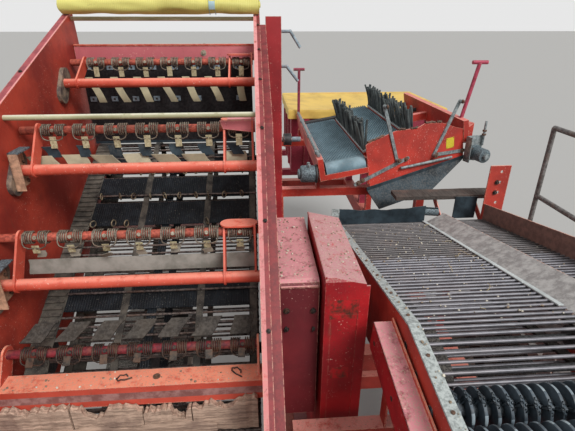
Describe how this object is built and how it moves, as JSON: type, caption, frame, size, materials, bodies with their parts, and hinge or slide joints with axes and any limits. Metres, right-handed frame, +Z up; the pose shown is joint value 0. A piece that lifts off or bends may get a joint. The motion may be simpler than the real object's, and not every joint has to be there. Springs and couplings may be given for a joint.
{
  "type": "potato harvester",
  "caption": "Trailed potato harvester with digging intake, haulm elevator with spring strippers, finger-comb separator, picking table, folding bunker discharge and platform",
  "frame": {"origin": "on the ground under the middle of the machine's box", "axes": "+X to the machine's left, +Y to its rear, +Z up; it is towed towards -Y"},
  "size_m": [3.2, 9.6, 3.1365],
  "materials": {
    "red_paint": "weathered red paint with rust and dust",
    "faded_paint": "sun-faded red paint",
    "web_steel": "worn rod steel",
    "spring_steel": "cream spring steel, dusty",
    "zinc": "galvanised steel",
    "chrome_rod": "hard chrome",
    "black_rubber": "black rubber",
    "grey_rubber": "grey studded rubber belting",
    "dusty_rubber": "rubber flaps under dry soil",
    "tyre": "black tyre rubber",
    "rim_paint": "pale rim paint",
    "cast_housing": "grey cast housing",
    "wood": "weathered boards",
    "sheeting": "yellow woven sheeting",
    "deck": "worn grey deck plate"
  },
  "bodies": {
    "machine": {"chassis": "red_paint", "axle_beam": "red_paint", "gearbox": "cast_housing", "elevator_wall_left": "faded_paint", "elevator_wall_right": "red_paint", "elevator_beams": "red_paint", "elevator_boards": "wood", "tie_rods": "spring_steel", "elevator_rods": "web_steel", "elevator_belts": "black_rubber", "web_rollers": "web_steel", "stripper_tubes": "red_paint", "stripper_shafts": "red_paint", "stripper_springs": "spring_steel", "stripper_flaps": "dusty_rubber", "side_column": "red_paint", "chute_hood": "faded_paint", "chute_box": "red_paint", "table_frame": "red_paint", "table_rods": "web_steel", "table_belts": "black_rubber", "separator_frame": "red_paint", "stud_belts": "grey_rubber", "finger_combs": "black_rubber", "comb_linkage": "zinc", "hydraulic_motors": "cast_housing", "rubber_flaps": "black_rubber", "rear_hopper": "faded_paint", "hopper_sheet": "sheeting", "tarp_roll": "sheeting", "bunker": "red_paint", "bunker_floor": "web_steel", "platform": "deck"},
    "wheel_left": {"rim_left": "rim_paint", "tyre_left": "tyre"},
    "wheel_right": {"rim_right": "rim_paint", "tyre_right": "tyre"},
    "drawbar": {"drawbar": "red_paint"},
    "jack": {"jack_leg": "zinc"},
    "steer_barrel": {"steer_barrel": "cast_housing"},
    "steer_rod": {"steer_rod": "chrome_rod"},
    "intake": {"intake_frame": "red_paint", "share": "web_steel", "intake_rods": "web_steel", "intake_belts": "black_rubber"},
    "diabolo": {"diabolo_roller": "web_steel"},
    "coulter_left": {"coulter_left": "web_steel"},
    "coulter_right": {"coulter_right": "web_steel"},
    "lift_barrel": {"lift_barrel": "cast_housing"},
    "lift_rod": {"lift_rod": "chrome_rod"},
    "roller_1": {"disc_roller_1": "black_rubber"},
    "roller_2": {"disc_roller_2": "black_rubber"},
    "roller_3": {"disc_roller_3": "black_rubber"},
    "discharge": {"discharge_frame": "red_paint", "discharge_slats": "web_steel"},
    "discharge_barrel": {"discharge_barrel": "cast_housing"},
    "discharge_rod": {"discharge_rod": "chrome_rod"}
  },
  "joints": [
    {"name": "wheel_left_spin", "type": "hinge", "parent": "machine", "child": "wheel_left", "pos_m": [1.2, 1.5, 0.6], "axis": [1, 0, 0], "continuous": true},
    {"name": "wheel_right_spin", "type": "hinge", "parent": "machine", "child": "wheel_right", "pos_m": [-1.2, 1.5, 0.6], "axis": [1, 0, 0], "continuous": true},
    {"name": "drawbar_steer", "type": "hinge", "parent": "machine", "child": "drawbar", "pos_m": [0.2, -3.06, 0.98], "axis": [0, 0, 1], "range_deg": [-20, 20]},
    {"name": "jack_slide", "type": "slide", "parent": "drawbar", "child": "jack", "axis": [0, 0, 1], "range_m": [0, 0.3]},
    {"name": "steer_barrel_swing", "type": "hinge", "parent": "machine", "child": "steer_barrel", "pos_m": [-0.31, -3.02, 0.765], "axis": [0, 0, 1], "range_deg": [-14.09, 14.09]},
    {"name": "steer_rod_stroke", "type": "slide", "parent": "steer_barrel", "child": "steer_rod", "axis": [0.4662, -0.8847, 0], "range_m": [-0.15641, 0.15641]},
    {"name": "intake_lift", "type": "hinge", "parent": "machine", "child": "intake", "pos_m": [-0.96, -0.48, 1.1], "axis": [1, 0, 0], "range_deg": [-3, 11]},
    {"name": "lift_barrel_swing", "type": "hinge", "parent": "machine", "child": "lift_barrel", "pos_m": [-0.43, -1.7, 1.25], "axis": [1, 0, 0], "range_deg": [-3.82, 13.49]},
    {"name": "lift_rod_stroke", "type": "slide", "parent": "lift_barrel", "child": "lift_rod", "axis": [0, -0.2747, -0.9615], "range_m": [-0.06873, 0.24269]},
    {"name": "diabolo_spin", "type": "hinge", "parent": "intake", "child": "diabolo", "pos_m": [-0.96, -3, 0.48856], "axis": [1, 0, 0], "continuous": true},
    {"name": "coulter_left_spin", "type": "hinge", "parent": "intake", "child": "coulter_left", "pos_m": [-0.446, -2.45, 0.48856], "axis": [1, 0, 0], "continuous": true},
    {"name": "coulter_right_spin", "type": "hinge", "parent": "intake", "child": "coulter_right", "pos_m": [-1.474, -2.45, 0.48856], "axis": [1, 0, 0], "continuous": true},
    {"name": "disc_roller_1_spin", "type": "hinge", "parent": "machine", "child": "roller_1", "pos_m": [0.32, -0.008, 2.032], "axis": [1, 0, 0], "continuous": true},
    {"name": "disc_roller_2_spin", "type": "hinge", "parent": "machine", "child": "roller_2", "pos_m": [0.32, -0.133, 2.032], "axis": [1, 0, 0], "continuous": true},
    {"name": "disc_roller_3_spin", "type": "hinge", "parent": "machine", "child": "roller_3", "pos_m": [0.32, -0.258, 2.032], "axis": [1, 0, 0], "continuous": true},
    {"name": "discharge_fold", "type": "hinge", "parent": "machine", "child": "discharge", "pos_m": [1.04, -1.58, 1.12], "axis": [0, 1, 0], "range_deg": [0, 55]},
    {"name": "discharge_barrel_swing", "type": "hinge", "parent": "machine", "child": "discharge_barrel", "pos_m": [0.9, -1.58, 0.78], "axis": [0, 1, 0], "range_deg": [-0.2, 32.58]},
    {"name": "discharge_rod_stroke", "type": "slide", "parent": "discharge_barrel", "child": "discharge_rod", "axis": [0.5408, 0, 0.8412], "range_m": [-0.15976, 0.00349]}
  ],
  "couplings": [
    {"joint": "steer_barrel_swing", "follows": "drawbar_steer", "ratio": 0.68098},
    {"joint": "steer_rod_stroke", "follows": "drawbar_steer", "m_per_rad": 0.4295},
    {"joint": "lift_barrel_swing", "follows": "intake_lift", "ratio": 1.1845},
    {"joint": "lift_rod_stroke", "follows": "intake_lift", "m_per_rad": 1.2215},
    {"joint": "discharge_barrel_swing", "follows": "discharge_fold", "ratio": 0.57712},
    {"joint": "discharge_rod_stroke", "follows": "discharge_fold", "m_per_rad": -0.1596}
  ]
}
